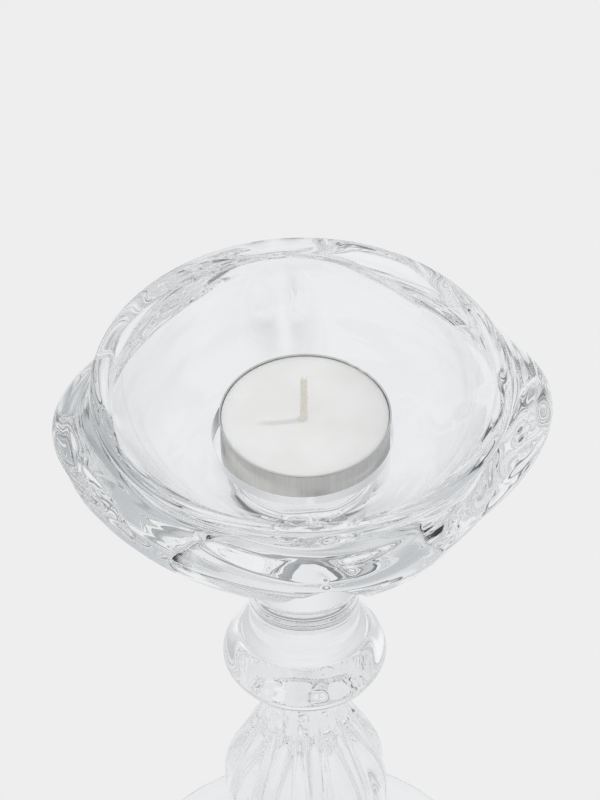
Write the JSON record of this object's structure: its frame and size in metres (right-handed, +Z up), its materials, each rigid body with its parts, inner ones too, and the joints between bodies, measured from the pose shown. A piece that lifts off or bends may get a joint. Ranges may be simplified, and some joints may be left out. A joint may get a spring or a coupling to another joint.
{
  "type": "tealight holder",
  "caption": "Clear crystal candlestick with a round dish, pointed lugs below its rim, a flattened knop, a fluted stem and a disc foot, holding a lift-out tealight.",
  "frame": {"origin": "centre of the underside of the foot, on the table", "axes": "+Z up along the axis of the stem, +X to the right and -Y towards the front; one lug points along each of +X, -X, +Y and -Y"},
  "size_m": [0.1106, 0.1072, 0.18],
  "materials": {
    "crystal": "fire-polished clear lead crystal",
    "cup_foil": "satin pressed foil",
    "wax": "smooth unlit paraffin wax",
    "wick": "waxed plaited cotton",
    "sustainer": "thin tinned steel"
  },
  "bodies": {
    "holder": {"bowl": "crystal", "knop": "crystal", "fluted_stem": "crystal", "foot": "crystal"},
    "tealight": {"tealight_cup": "cup_foil"},
    "candle": {"wax": "wax", "wick": "wick", "wick_sustainer": "sustainer"}
  },
  "joints": [
    {"name": "tealight_lift", "type": "slide", "parent": "holder", "child": "tealight", "axis": [0, 0, 1], "range_m": [0, 0.04]},
    {"name": "candle_lift", "type": "slide", "parent": "tealight", "child": "candle", "axis": [0, 0, 1], "range_m": [0, 0.02]}
  ]
}
